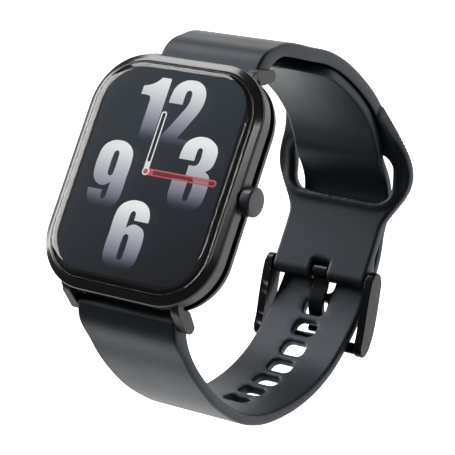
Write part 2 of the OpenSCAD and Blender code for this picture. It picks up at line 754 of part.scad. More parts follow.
// A coil spring between the two tips, swept along its helix.
spring_wire = 0.1;
spring_r = tube_r - 0.25 - spring_wire - 0.06;
spring_x0 = -tube_half + 4.05;
spring_x1 = release_x - 1.45;
spring_turns = 7;
module bar_spring(y) {
    rings = spring_turns * 9;
    pitch = (spring_x1 - spring_x0 - 2 * spring_wire) / spring_turns;
    function centre(a) = [spring_x0 + spring_wire + pitch * a / 360, y + spring_r * cos(a), bar_z + spring_r * sin(a)];
    pts = [for (i = [0 : rings]) let (a = 40 * i) for (k = [0 : 5])
        centre(a) + spring_wire * (cos(60 * k) * [0, cos(a), sin(a)] + sin(60 * k) * [1, 0, 0])];
    sides = [for (i = [0 : rings - 1]) for (k = [0 : 5]) for (half_of = [0, 1]) half_of == 0
        ? [6 * i + k, 6 * i + (k + 1) % 6, 6 * i + 6 + (k + 1) % 6]
        : [6 * i + k, 6 * i + 6 + (k + 1) % 6, 6 * i + 6 + k]];
    color("silver") polyhedron(points = pts, faces = concat(sides,
        [[for (k = [5 : -1 : 0]) k]], [[for (k = [0 : 5]) 6 * rings + k]]));
}

// ---- buckle ----
arm_x = half + 0.3;
frame_half = arm_x + arm_t;
crossbar_at = tongue_at - 5.6;
crossbar_drop = tail_t / 2 + 0.35 + bar_t / 2;
crossbar_w = 2.3;
crossbar = strap_place(crossbar_at, -crossbar_drop);

module buckle_pin() {
    color("silver") rod_x(-frame_half + 0.45, frame_half - 0.45, pin_r, pin_y, pin_z);
}

// An arm's side outline: from the pin's eye down to the crossbar, with round ends.
function square_to(line, i) = let (d = line[min(len(line) - 1, i + 1)] - line[max(0, i - 1)])
    [d[1], -d[0]] / norm(d);
function cap(c, r, from) = [for (a = [15 : 15 : 165]) c + r * [cos(from + a), sin(from + a)]];
function heading(v) = atan2(v[1], v[0]);
function band(line, halves) = let (n = len(line) - 1) concat(
    [for (i = [0 : n]) line[i] + halves[i] * square_to(line, i)],
    cap(line[n], halves[n], heading(square_to(line, n))),
    [for (i = [n : -1 : 0]) line[i] - halves[i] * square_to(line, i)],
    cap(line[0], halves[0], heading(-square_to(line, 0))));

module arm_outline() {
    span = crossbar - pin_at;
    line = smooth([pin_at, pin_at + 0.4 * span + [0, -0.3], pin_at + 0.75 * span + [0, -0.5], crossbar], 6);
    n = len(line) - 1;
    eye = eye_r - 0.1;
    polygon(band(line, [for (i = [0 : n]) eye + (arm_h / 2 - eye) * sin(180 * pow(i / n, 0.8)) - 0.35 * i / n]));
}

// A small rectangle with round corners.
function soft_box(w, h, r) = [for (q = [[1, 1, 0], [-1, 1, 90], [-1, -1, 180], [1, -1, 270]])
    for (a = [0 : 22.5 : 90]) [q[0] * (w / 2 - r) + r * cos(q[2] + a), q[1] * (h / 2 - r) + r * sin(q[2] + a)]];

module buckle_frame() {
    span = crossbar - pin_at;
    tilt = atan2(span[1], span[0]);
    reach = norm(span);
    corner = 4.2;
    color("black") difference() {
        intersection() {
            union() {
                for (side = [0, 1]) mirror([side, 0, 0]) side_on(arm_x, frame_half) arm_outline();
                translate([0, crossbar[0], crossbar[1]]) rotate([tilt, 0, 0])
                    translate([-frame_half, 0, 0]) rotate([90, 0, 90]) linear_extrude(2 * frame_half)
                        polygon(soft_box(crossbar_w, bar_t, 0.5));
            }
            // Seen square on, the far corners are round.
            translate([0, pin_at[0], pin_at[1]]) rotate([tilt, 0, 0])
                translate([0, reach + 1.5 - 12, -8]) round_plate(2 * frame_half, 24, corner, 0, 16)
                    polygon([[0, 0], [corner, 0], [corner, 16], [0, 16]]);
        }
        rod_x(-frame_half + 0.4, frame_half - 0.4, pin_r + run, pin_y, pin_z);
    }
}

module buckle_tongue() {
    level = tail_t / 2 + 0.2 + tongue_t / 2;
    // Over the strap's inner face, down through its hole, and on to the near side of the crossbar.
    steps = [[6.6, level + 1.25], [4.6, level + 0.35], [2.8, level + 0.05], [1.35, level - 0.2], [0.35, 0.75],
             [-0.3, -0.1], [-0.9, -1], [-1.75, -2.1], [-2.5, -2.75], [-3.3, -3]];
    line = smooth([for (q = steps) strap_place(tongue_at + q[0], q[1])], 5);
    color("dimgray") difference() {
        union() {
            side_on(-tongue_w / 2, tongue_w / 2) polygon(band(line, [for (p = line) tongue_t / 2]));
            rod_x(-tongue_w / 2, tongue_w / 2, pin_r + 0.65, pin_y, pin_z);
        }
        rod_x(-tongue_w, tongue_w, pin_r + run, pin_y, pin_z);
    }
}

cover_glass();
glass_adhesive();
display_panel();
panel_backing();
display_flex();
bezel();
middle_case();
inner_bracket();
main_board();
shield_can();
board_chips();
battery();
antenna_strip();
motor_can();
motor_base();
motor_weight();
crown_cap();
crown_stem();
crown_bush();
crown_o_ring();
crown_washer();
crown_clip();
switch_body();
switch_plunger();
back_gasket();
back_cover();
back_screws();
sensor_window();
sensor_board();
sensor_leds();
photodiodes();
charge_contacts();
charge_magnets();
strap_buckle_half();
strap_hole_half();
bar_tube(bar_y);  // top_bar_tube
bar_tip(bar_y);  // top_bar_tip
bar_release(bar_y);  // top_bar_release
bar_spring(bar_y);  // top_bar_spring
bar_tube(-bar_y);  // bottom_bar_tube
bar_tip(-bar_y);  // bottom_bar_tip
bar_release(-bar_y);  // bottom_bar_release
bar_spring(-bar_y);  // bottom_bar_spring
buckle_pin();
buckle_frame();
buckle_tongue();
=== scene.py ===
import bpy, bmesh, math
import numpy as np
from mathutils import Matrix, Vector
from mathutils.geometry import delaunay_2d_cdt


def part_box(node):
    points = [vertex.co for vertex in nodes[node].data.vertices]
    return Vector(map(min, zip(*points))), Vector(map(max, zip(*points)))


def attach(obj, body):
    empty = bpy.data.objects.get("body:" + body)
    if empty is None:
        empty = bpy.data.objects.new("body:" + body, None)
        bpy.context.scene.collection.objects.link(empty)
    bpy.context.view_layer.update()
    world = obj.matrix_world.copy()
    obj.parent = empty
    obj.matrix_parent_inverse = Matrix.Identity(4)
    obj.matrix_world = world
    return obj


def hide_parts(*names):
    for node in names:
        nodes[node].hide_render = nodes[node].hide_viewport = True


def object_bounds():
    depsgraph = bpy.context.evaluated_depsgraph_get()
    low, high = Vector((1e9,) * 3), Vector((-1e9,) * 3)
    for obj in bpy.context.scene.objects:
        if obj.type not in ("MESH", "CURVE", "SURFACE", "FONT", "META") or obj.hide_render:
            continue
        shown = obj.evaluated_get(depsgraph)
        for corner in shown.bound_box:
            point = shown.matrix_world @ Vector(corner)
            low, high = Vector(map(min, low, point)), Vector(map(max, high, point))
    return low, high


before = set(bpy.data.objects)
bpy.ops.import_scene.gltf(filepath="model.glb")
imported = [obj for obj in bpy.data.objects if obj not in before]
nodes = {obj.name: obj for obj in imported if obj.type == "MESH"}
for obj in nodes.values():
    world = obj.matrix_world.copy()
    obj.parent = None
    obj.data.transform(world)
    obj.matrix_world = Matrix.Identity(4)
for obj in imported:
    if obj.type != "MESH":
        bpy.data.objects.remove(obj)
cad_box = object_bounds()


# ---- Set: a white sweep under soft boxes ----
# The watch floats over a plain white floor, with one broad soft box from the left, one from the top left,
# a narrow strip overhead, and a dim white room. The camera looks down on the dial from the crown side.
camera = bpy.data.objects.new("camera", bpy.data.cameras.new("camera"))
bpy.context.scene.collection.objects.link(camera)
bpy.context.scene.camera = camera
camera.data.lens = 154.3
camera.data.clip_start, camera.data.clip_end = 0.01, 20
cam_right, cam_up, cam_back = Vector((0.8228, 0.3028, -0.4810)), Vector((-0.1658, 0.9373,
                                                0.3065)), Vector((0.5437, -0.1725, 0.8214))
camera.matrix_world = Matrix.Translation((0.20158, -0.06442, 0.2850)) @ Matrix((cam_right, cam_up,
                                                cam_back)).transposed().to_4x4()

world = bpy.data.worlds.new("white_room")
bpy.context.scene.world = world
world.use_nodes = True
world.node_tree.nodes["Background"].inputs["Color"].default_value = (1, 1, 1, 1)
world.node_tree.nodes["Background"].inputs["Strength"].default_value = 0.14
bpy.context.scene.view_settings.view_transform = "Standard"

aim = Vector((0, 0, -0.02))


def soft_box(name, to_right, to_up, to_back, wide, high, power):
    """A rectangular soft box, placed along the camera's own right, up and back directions from the watch."""
    light = bpy.data.objects.new(name, bpy.data.lights.new(name, "AREA"))
    bpy.context.scene.collection.objects.link(light)
    light.data.shape = "RECTANGLE"
    light.data.size, light.data.size_y, light.data.energy = wide, high, power
    light.location = aim + cam_right * to_right + cam_up * to_up + cam_back * to_back
    light.rotation_euler = (light.location - aim).to_track_quat("Z", "Y").to_euler()
    return light


def light_from(name, toward, away, wide, high, power):
    """A soft box in a direction given in the watch's own axes."""
    d = Vector(toward).normalized() * away
    return soft_box(name, d.dot(cam_right), d.dot(cam_up), d.dot(cam_back), wide, high, power)


light_from("left_box", (-0.90, 0.17, 0.40), 0.8, 0.48, 0.60, 8.0)
light_from("top_box", (-0.55, 0.72, 0.43), 0.8, 0.36, 0.36, 3.2)
light_from("overhead_strip", (0.28, 0.20, 0.94), 0.9, 0.035, 0.5, 0.8)

floor_mesh = bpy.data.meshes.new("floor")
floor_build = bmesh.new()
bmesh.ops.create_grid(floor_build, x_segments=2, y_segments=2, size=3)
floor_build.to_mesh(floor_mesh)
floor_build.free()
floor = bpy.data.objects.new("floor", floor_mesh)
bpy.context.scene.collection.objects.link(floor)
floor.location.z = cad_box[0].z - 0.25
floor_paint = bpy.data.materials.new("floor_white")
floor_paint.use_nodes = True
floor_shader = floor_paint.node_tree.nodes["Principled BSDF"]
floor_shader.inputs["Base Color"].default_value = (0.95, 0.95, 0.95, 1)
floor_shader.inputs["Roughness"].default_value = 0.9
floor_shader.inputs["Emission Color"].default_value = (1, 1, 1, 1)
floor_shader.inputs["Emission Strength"].default_value = 0.9
floor_mesh.materials.append(floor_paint)


# ---- Strap: black silicone, moulded in two halves ----
# Liquid silicone pressed in a steel mould, satin from the mould's fine blasting, with soft round edges.
# Each half hangs on a spring bar. The tail of the hole half is tucked inside through the keeper slot.
MM = 0.001
bar_low, bar_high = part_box("top_bar_tube")
bar_y, bar_z = (bar_low.y + bar_high.y) / 2 / MM, (bar_low.z + bar_high.z) / 2 / MM
pin_low, pin_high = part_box("buckle_pin")
pin_y, pin_z = (pin_low.y + pin_high.y) / 2 / MM, (pin_low.z + pin_high.z) / 2 / MM
strap_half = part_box("strap_hole_half")[1].x / MM
flare_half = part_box("strap_buckle_half")[1].x / MM
strap_t, tail_t, tail_half = 2.3, 2.1, 10.2
barrel_r, eye_r, tail_gap = 2.15, 2.0, 0.25


class Path:
    """A smooth line through given points in Y and Z, measured along its length in millimetres."""

    def __init__(self, points, steps=12):
        p = [2 * np.array(points[0]) - np.array(points[1])] + [np.array(q, float) for q in points]
        p.append(2 * p[-1] - p[-2])
        line = []
        for a, b, c, d in zip(p, p[1:], p[2:], p[3:]):
            for t in np.arange(steps) / steps:
                line.append(0.5 * (2 * b + (c - a) * t + (2 * a - 5 * b + 4 * c - d) * t**2 + (3 * b - a - 3 * c + d) * t**3))
        self.line = np.array(line + [p[-2]])
        self.run = np.r_[0, np.cumsum(np.linalg.norm(np.diff(self.line, axis=0), axis=1))]
        self.end = self.run[-1]

    def at(self, s):
        s = np.asarray(s, float)
        inside = np.stack([np.interp(s, self.run, self.line[:, k]) for k in (0, 1)], -1)
        first, last = self.line[1] - self.line[0], self.line[-1] - self.line[-2]
        before, after = np.minimum(s, 0)[..., None], np.maximum(s - self.end, 0)[..., None]
        return inside + before * first / np.linalg.norm(first) + after * last / np.linalg.norm(last)

    def along(self, s):
        d = self.at(np.asarray(s) + 0.6) - self.at(np.asarray(s) - 0.6)
        return d / np.linalg.norm(d, axis=-1, keepdims=True)


def ease(t):
    t = np.clip(t, 0, 1)
    return t * t * (3 - 2 * t)


def turned(d, way):
    """The direction square to d that faces the wrist, on the buckle half (way 1) or the hole half (way -1)."""
    return np.stack([way * d[..., 1], -way * d[..., 0]], -1)


bulge_top, bulge_bottom = bar_y + 12.6, bar_y + 10.2
top_path = Path(
    [(bar_y, bar_z), (bar_y + 2.8, bar_z - 0.5), (bar_y + 5.3, bar_z - 2.6), (bar_y + 7.8, bar_z - 6.2)]
    + [(bulge_top * a, pin_z * b) for a, b in ((0.93, 0.21), (0.98, 0.32), (1, 0.435), (0.99, 0.565), (0.955, 0.69),
                                              (0.885, 0.795), (0.775, 0.885), (0.64, 0.945), (0.485, 0.975))]
    + [(pin_y + y, pin_z + eye_r - strap_t / 2) for y in (9, 2, 0)]
)
slot_at, slot_l = top_path.end - 21.5, 10.4
beside, cross_l = strap_t / 2 + tail_t / 2 + tail_gap, slot_l + 1.6


def beside_top(s):
    """Where the tail runs: outside the buckle half below the slot, inside it above."""
    side = beside * (2 * ease((slot_at + cross_l / 2 - s) / cross_l) - 1)
    return top_path.at(s) + side * turned(top_path.along(s), 1)


under_pin = pin_z - eye_r - tail_gap - tail_t / 2
bottom_path = Path(
    [(-bar_y, bar_z), (-bar_y - 2, bar_z - 1.4), (-bar_y - 4, bar_z - 4.3)]
    + [(-bulge_bottom * a, pin_z * b) for a, b in ((0.89, 0.13), (0.946, 0.226), (0.985, 0.322), (1, 0.42),
       (0.997, 0.517),
                                                   (0.96, 0.617), (0.89, 0.713), (0.79, 0.808), (0.657,
                                                0.897), (0.497, 0.967))]
    + [(pin_y - 13.3, under_pin + 2.5), (pin_y - 7.5, under_pin + 0.85), (pin_y - 0.5, under_pin),
       (pin_y + 5.5, under_pin + 0.2)]
    + [beside_top(s) for s in (top_path.end - 10.5, top_path.end - 13.5, slot_at + 5, slot_at + 2.5, slot_at,
       slot_at - 2.5,
                               slot_at - 5, slot_at - 8, slot_at - 14, slot_at - 21, slot_at - 28, slot_at - 36,
                               top_path.end - 64)]
)


def half_t(s, t):
    """Half the strap's thickness: swollen round the spring bar, then even."""
    return np.where(s < 9, t / 2 + (barrel_r - 0.15 - t / 2) * np.maximum(1 - ease(s / 9), 0) ** 1.2, t / 2)


def spaced(points, step):
    """A closed loop of points, split so that no side is longer than step."""
    out = []
    for a, b in zip(points, points[1:] + points[:1]):
        a, b = np.array(a, float), np.array(b, float)
        n = max(1, int(math.ceil(np.linalg.norm(b - a) / step)))
        out += [a + (b - a) * k / n for k in range(n)]
    return out


def round_box(cx, cy, w, h, r, arc=8):
    """A rectangle with round corners, as a loop."""
    out = []
    for qx, qy, start in ((1, 1, 0), (-1, 1, 90), (-1, -1, 180), (1, -1, 270)):
        for k in range(arc + 1):
            a = math.radians(start + 90 * k / arc)
            out.append((cx + qx * (w / 2 - r) + r * math.cos(a), cy + qy * (h / 2 - r) + r * math.sin(a)))
    return out


def distance_to(points, loops):
    """How far each point is from the nearest of some polylines."""
    best = np.full(len(points), 1e9)
    for loop, closed in loops:
        p = np.array(loop, float)
        a, b = (p, np.roll(p, -1, 0)) if closed else (p[:-1], p[1:])
        for start in range(0, len(points), 2000):
            q = points[start:start + 2000, None]
            t = np.clip(((q - a) * (b - a)).sum(-1) / np.maximum(((b - a) ** 2).sum(-1), 1e-12), 0, 1)
            d = np.linalg.norm(q - (a + t[..., None] * (b - a)), axis=-1).min(1)
            best[start:start + 2000] = np.minimum(best[start:start + 2000], d)
    return best


def inside_loop(points, loop):
    p = np.array(loop, float)
    a, b = p, np.roll(p, -1, 0)
    x, y = points[:, 0, None], points[:, 1, None]
    crosses = (a[:, 1] > y) != (b[:, 1] > y)
    with np.errstate(divide="ignore", invalid="ignore"):
        at = a[:, 0] + (y - a[:, 1]) * (b[:, 0] - a[:, 0]) / (b[:, 1] - a[:, 1])
    return (crosses & (x < at)).sum(1) % 2 == 1


def moulded(name, outline, holes, extra, place, faces, soft_edges=None, edge_r=0.6):
    """A sheet-like piece cut to an outline with holes, with round edges. place(points, height) puts it in space;
    faces(points, distance to the nearest hole) gives its upper and lower height at each point."""
    loops = [outline] + holes
    verts = [tuple(p) for loop in loops for p in loop]
    edges, at = [], 0
    for loop in loops:
        edges += [(at + k, at + (k + 1) % len(loop)) for k in range(len(loop))]
        at += len(loop)
    free = np.array(extra, float)
    keep = inside_loop(free, outline)
    for hole in holes:
        keep &= ~inside_loop(free, hole)
    keep &= distance_to(free, [(loop, True) for loop in loops]) > 0.045
    verts += [tuple(p) for p in free[keep]]
    flat, _, tris, _, _, _ = delaunay_2d_cdt([Vector(v) for v in verts], edges, [], 0, 1e-6)
    flat = np.array([tuple(v) for v in flat])
    tris = np.array(tris)
    centre = flat[tris].mean(1)
    ok = inside_loop(centre, outline)
    for hole in holes:
        ok &= ~inside_loop(centre, hole)
    tris = tris[ok]
    area = np.cross(flat[tris[:, 1]] - flat[tris[:, 0]], flat[tris[:, 2]] - flat[tris[:, 0]])
    tris[area < 0] = tris[area < 0][:, ::-1]
    edge_d = distance_to(flat, (soft_edges or [(outline, True)]) + [(h, True) for h in holes])
    hole_d = distance_to(flat, [(h, True) for h in holes]) if holes else np.full(len(flat), 1e9)
    high, low = faces(flat, hole_d)
    r = np.minimum(edge_r, np.maximum((high - low) / 2, 0))
    inset = np.clip(edge_d, 0, r)
    drop = r - np.sqrt(np.maximum(r**2 - (r - inset) ** 2, 0))
    top, bottom = place(flat, high - drop), place(flat, low + drop)
    n = len(flat)
    build = bmesh.new()
    points = [build.verts.new(Vector(p) * MM) for p in np.r_[top, bottom]]
    for a, b, c in tris:
        build.faces.new((points[a], points[b], points[c]))
        build.faces.new((points[n + c], points[n + b], points[n + a]))
    build.verts.index_update()
    rim = [e for e in build.edges if e.is_boundary and e.verts[0].index < n and e.verts[1].index < n]
    for e in rim:
        face = e.link_faces[0]
        order = [l.vert for l in face.loops]
        i, j = e.verts[0].index, e.verts[1].index
        k = order.index(points[i])
        if order[(k + 1) % 3] is not points[j]:
            i, j = j, i
        build.faces.new((points[j], points[i], points[n + i], points[n + j]))
    bmesh.ops.remove_doubles(build, verts=build.verts, dist=2e-6)
    bmesh.ops.recalc_face_normals(build, faces=build.faces)
    mesh = bpy.data.meshes.new(name)
    build.to_mesh(mesh)
    build.free()
    for f in mesh.polygons:
        f.use_smooth = True
    piece = bpy.data.objects.new(name, mesh)
    bpy.context.scene.collection.objects.link(piece)
    return piece


RINGS = (0.06, 0.16, 0.32, 0.6, 0.95)


def on_path(path, way):
    def place(points, height):
        yz = path.at(points[:, 1]) + height[:, None] * turned(path.along(points[:, 1]), way)
        return np.c_[points[:, 0], yz]
    return place


def surface(name, tint, rough, bump, metal=0.0, grain_scale=9000, depth=0.00004, patch_scale=90, spread=0.22):
    """A worked surface: its colour and sheen drift slowly in patches, over a fine grain."""
    m = bpy.data.materials.new(name)
    m.use_nodes = True
    n, l = m.node_tree.nodes, m.node_tree.links
    shader = n["Principled BSDF"]
    where = n.new("ShaderNodeTexCoord")
    patches, grain = n.new("ShaderNodeTexNoise"), n.new("ShaderNodeTexNoise")
    patches.inputs["Scale"].default_value, patches.inputs["Detail"].default_value = patch_scale, 4
    grain.inputs["Scale"].default_value, grain.inputs["Detail"].default_value = grain_scale, 2
    colour, sheen = n.new("ShaderNodeValToRGB"), n.new("ShaderNodeMapRange")
    colour.color_ramp.elements[0].color = (*[min(1, c * (1 - spread)) for c in tint], 1)
    colour.color_ramp.elements[1].color = (*[min(1, c * (1 + spread)) for c in tint], 1)
    sheen.inputs["To Min"].default_value, sheen.inputs["To Max"].default_value = rough * 0.9, rough * 1.12
    height = n.new("ShaderNodeBump")
    height.inputs["Strength"].default_value, height.inputs["Distance"].default_value = bump, depth
    for tex in (patches, grain):
        l.new(where.outputs["Object"], tex.inputs["Vector"])
    l.new(patches.outputs["Fac"], colour.inputs["Fac"])
    l.new(patches.outputs["Fac"], sheen.inputs["Value"])
    l.new(colour.outputs["Color"], shader.inputs["Base Color"])
    l.new(sheen.outputs["Result"], shader.inputs["Roughness"])
    l.new(grain.outputs["Fac"], height.inputs["Height"])
    l.new(height.outputs["Normal"], shader.inputs["Normal"])
    shader.inputs["Metallic"].default_value = metal
    return m


silicone = surface("black_silicone", (0.0045, 0.0060, 0.0088), 0.46, 0.25)
silicone.node_tree.nodes["Principled BSDF"].inputs["Specular IOR Level"].default_value = 0.36
silicone.node_tree.nodes["Principled BSDF"].inputs["Specular Tint"].default_value = (0.78, 0.90, 1.0, 1)

# The buckle half: it widens round the keeper slot, whose lip is raised, and ends in an eye for the buckle's pin.
flare_y = top_path.at(slot_at - 0.8)[0]


def top_half_width(s):
    p = top_path.at(s)
    u = (p[..., 0] - flare_y) / 11
    bump = np.where(np.abs(u) < 1, np.cos(np.radians(90 * np.clip(u, -1, 1))) ** 1.6, 0)
    return strap_half + (flare_half - strap_half) * bump * (p[..., 1] < pin_z * 0.72)


top_stations = np.r_[-barrel_r * np.cos(np.radians(np.arange(0, 90, 10))), np.arange(0, top_path.end, 0.75),
                     top_path.end + eye_r * np.sin(np.radians(np.arange(0, 91, 10)))]
notch_half, notch_depth = 2.0, 1.7
s_end = top_path.end + eye_r
right = [(float(top_half_width(s)), float(s)) for s in top_stations]
left = [(-u, s) for u, s in reversed(right)]
notch = [(notch_half, s_end), (notch_half, s_end - eye_r - notch_depth), (-notch_half, s_end - eye_r - notch_depth),
         (-notch_half, s_end)]
top_outline = spaced(right + notch + left, 0.8)
slot_loop = spaced(round_box(0, slot_at, 2 * (tail_half + 1.6), slot_l, 3.2, 10), 0.8)


def top_faces(points, slot_d):
    s = points[:, 1]
    body = half_t(s, strap_t)
    barrel = np.sqrt(np.maximum(barrel_r**2 - s**2, 0))
    body = np.where(s < 0, np.minimum(barrel, body), body)
    drop = eye_r - strap_t / 2
    round_end = np.sqrt(np.maximum(eye_r**2 - np.maximum(s - top_path.end, 0) ** 2, 0))
    high = np.where(s > top_path.end, round_end - drop, body)
    swell = ease((s - top_path.end + 5) / 4.2)
    low = np.where(s > top_path.end, -round_end - drop, -body - (2 * drop) * swell)
    lip = 0.42 * ease(slot_d / 0.7) * (1 - ease((slot_d - 1.1) / 1.3))
    side = np.abs(points[:, 0])
    rim = 0.5 * ease((side - tail_half - 0.1) / 0.35) * ease((s - 6) / 6) * ease((slot_at - slot_l / 2 - 1 - s) / 6)
    return high + np.maximum(lip, rim), low - 0.6 * lip


grid = [(u, s) for s in top_stations for u in np.arange(-15, 15.1, 1.5)]
side_rings = [(sign * (float(top_half_width(s)) - d),
              s) for s in top_stations for d in RINGS + (0.78,) for sign in (-1, 1)]
slot_rings = [p for d in RINGS + (1.4, 1.9, 2.5)
              for p in spaced(round_box(0, slot_at, 2 * (tail_half + 1.6 + d), slot_l + 2 * d, 3.2 + d, 10), 0.9)]
notch_rings = [(sx * (notch_half + d), s) for d in RINGS for sx in (-1, 1) for s in np.arange(s_end - 5, s_end, 0.5)]
strap_top = moulded("strap_buckle_half_skin", top_outline, [slot_loop], grid + side_rings + slot_rings + notch_rings,
                    on_path(top_path, 1), top_faces,
                    [(right, False), (left, False), (notch, False)])
strap_top.data.materials.append(silicone)
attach(strap_top, "watch")
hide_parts("strap_buckle_half")

# The hole half: it narrows a little towards its eight adjustment holes and ends in a broad round tip.
hole_w, hole_l, hole_pitch, holes_below = 5.0, 3.6, 5.4, 6
hole_r = 1.2


def run_at(path, y):
    ok = (path.line[:, 1] < pin_z * 0.9) & (path.line[:, 0] >= y)
    k = int(np.argmax(ok))
    t = (y - path.line[k - 1, 0]) / (path.line[k, 0] - path.line[k - 1, 0])
    return path.run[k - 1] + t * (path.run[k] - path.run[k - 1])


tongue_at = run_at(bottom_path, pin_y - 7.5)
tip_l = 6.5


def bottom_half_width(s):
    z = bottom_path.at(s)[..., 1]
    down = np.clip((z - pin_z * 0.2) / (pin_z * 0.75 - pin_z * 0.2), 0, 1)
    width = strap_half + (tail_half - strap_half) * np.where(s < 75, down, 1)
    tip = np.clip((s - bottom_path.end + tip_l) / tip_l, 0, 1)
    return width * np.sqrt(np.maximum(1 - tip ** 2.5, 0))


bottom_stations = np.r_[-barrel_r * np.cos(np.radians(np.arange(0, 90, 10))), np.arange(0,
                        bottom_path.end - tip_l, 0.8),
                        bottom_path.end - tip_l + tip_l * np.sin(np.radians(np.arange(0, 90.1, 7.5)))]
right = [(float(bottom_half_width(s)), float(s)) for s in bottom_stations]
left = [(-u, s) for u, s in reversed(right)]
bottom_outline = spaced(right[:-1] + left, 0.9)
hole_loops = [spaced(round_box(0, tongue_at - k * hole_pitch, hole_w, hole_l, hole_r), 0.6) for k in range(-1,
              holes_below + 1)]


def bottom_faces(points, hole_d):
    s = points[:, 1]
    body = half_t(s, tail_t)
    body = np.where(s < 0, np.minimum(np.sqrt(np.maximum(barrel_r**2 - s**2, 0)), body), body)
    return body, -body


grid = [(u, s) for s in bottom_stations for u in np.arange(-10.5, 10.6, 1.5)]
side_rings = [(sign * max(float(bottom_half_width(s)) - d, 0),
              s) for s in bottom_stations for d in RINGS for sign in (-1, 1)]
tip_rings = [(float(bottom_half_width(s)) * (1 - d / tail_half) * sign,
             bottom_path.end - tip_l + (s - bottom_path.end + tip_l) * (1 - d / tip_l))
             for s in bottom_stations[-13:] for d in RINGS for sign in (-1, 1)]
hole_rings = [p for k in range(-1, holes_below + 1) for d in (0.06, 0.15, 0.3, 0.6)
              for p in spaced(round_box(0, tongue_at - k * hole_pitch, hole_w + 2 * d, hole_l + 2 * d,
                              hole_r + d), 0.6)]
strap_bottom = moulded("strap_hole_half_skin", bottom_outline, hole_loops, grid + side_rings + tip_rings + hole_rings,
                       on_path(bottom_path, -1), bottom_faces, [(right + left[1:], False)])
strap_bottom.data.materials.append(silicone)
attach(strap_bottom, "watch")
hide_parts("strap_hole_half")


# ---- Bezel: the gloss black ring round the glass ----
# Machined aluminium, polished and coated gloss black. It stands on the case's widest edge, leans in
# towards the glass, and takes the crown's round pocket on the 3 o'clock side.
bezel_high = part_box("bezel")[1]
case_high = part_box("middle_case")[1]
case_half_w, case_half_l, case_r = bezel_high.x / MM, bezel_high.y / MM, 10.7
edge_z, rim_z = case_high.z / MM, bezel_high.z / MM
bezel_lean, rim_t, wall_t, spigot_in = 1.4, 0.25, 2.4, 1.35
glass_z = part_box("cover_glass")[0].z / MM
crown_low, crown_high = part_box("crown_cap")
crown_y, crown_z = (crown_low.y + crown_high.y) / 2 / MM, (crown_low.z + crown_high.z) / 2 / MM
crown_r = (crown_high.y - crown_low.y) / 2 / MM


def softened(points, r, shut=True, steps=4):
    """A run of points with every corner rounded off."""
    p = [np.array(q, float) for q in points]
    out = []
    for i, b in enumerate(p):
        if not shut and i in (0, len(p) - 1):
            out.append(b)
            continue
        a, c = p[i - 1], p[(i + 1) % len(p)]
        la, lc = np.linalg.norm(a - b), np.linalg.norm(c - b)
        t = min(r, 0.45 * la, 0.45 * lc)
        start, stop = b + (a - b) / la * t, b + (c - b) / lc * t
        for k in range(steps + 1):
            u = k / steps
            out.append((1 - u) ** 2 * start + 2 * u * (1 - u) * b + u**2 * stop)
    return out


def case_loop(inset, arc=20, splits=10):
    """The case's outline seen from the front, a distance in. Its straight runs are split into short ones."""
    w, l, r = case_half_w - inset, case_half_l - inset, max(case_r - inset, 0.01)
    out = []
    for qx, qy, start, straight in ((1, 1, 0, w - r), (-1, 1, 90, l - r), (-1, -1, 180, w - r), (1, -1, 270, l - r)):
        for k in range(arc + 1):
            a = math.radians(start + 90 * k / arc)
            out.append((qx * (w - r) + r * math.cos(a), qy * (l - r) + r * math.sin(a)))
        for k in range(1, splits):
            a = math.radians(start + 90)
            out.append((out[-1][0] - math.sin(a) * 2 * straight / splits,
                       out[-1][1] + math.cos(a) * 2 * straight / splits))
    return out


def add_swept(build, profile, shut=True):
    """Runs a profile of (distance in, height) round the case. An open profile is closed by flat lids."""
    rings = [[build.verts.new((x * MM, y * MM, z * MM)) for x, y in case_loop(inset)] for inset, z in profile]
    for a, b in zip(rings, rings[1:] + (rings[:1] if shut else [])):
        for i in range(len(a)):
            j = (i + 1) % len(a)
            build.faces.new((a[i], a[j], b[j], b[i]))
    if not shut:
        build.faces.new(rings[0][::-1])
        build.faces.new(rings[-1])


def add_slab(build, outline, x0, x1, bevel):
    """An outline in Y and Z drawn out along X, with rounded rims."""
    ends = [[build.verts.new((x * MM, y * MM, z * MM)) for y, z in outline] for x in (x0, x1)]
    faces = [build.faces.new(ends[0]), build.faces.new(ends[1][::-1])]
    rim = [e for f in faces for e in f.edges]
    for i in range(len(outline)):
        j = (i + 1) % len(outline)
        build.faces.new((ends[0][j], ends[0][i], ends[1][i], ends[1][j]))
    bmesh.ops.bevel(build, geom=rim, offset=bevel * MM, segments=3, profile=0.5, affect="EDGES")


def made(name, build, material, body="watch", even=True):
    """Turns a mesh under construction into a smooth piece that rides a body."""
    bmesh.ops.recalc_face_normals(build, faces=build.faces)
    mesh = bpy.data.meshes.new(name)
    build.to_mesh(mesh)
    build.free()
    for f in mesh.polygons:
        f.use_smooth = True
    piece = bpy.data.objects.new(name, mesh)
    bpy.context.scene.collection.objects.link(piece)
    mesh.materials.append(material)
    if even:
        piece.modifiers.new("even_normals", "WEIGHTED_NORMAL").keep_sharp = True
    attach(piece, body)
    return piece


def add_turned(build, profile, at, way, sides=64):
    """A profile of (distance along the axis, radius) turned round an axis along X."""
    rings = []
    for x, r in profile:
        rings.append([build.verts.new(((at[0] + way * x) * MM, (at[1] + r * math.cos(2 * math.pi * k / sides)) * MM,
                                       (at[2] + r * math.sin(2 * math.pi * k / sides)) * MM)) for k in range(sides)])
    for a, b in zip(rings, rings[1:]):
        for i in range(sides):
            j = (i + 1) % sides
            build.faces.new((a[i], a[j], b[j], b[i]))
    build.faces.new(rings[0][::-1])
    build.faces.new(rings[-1])


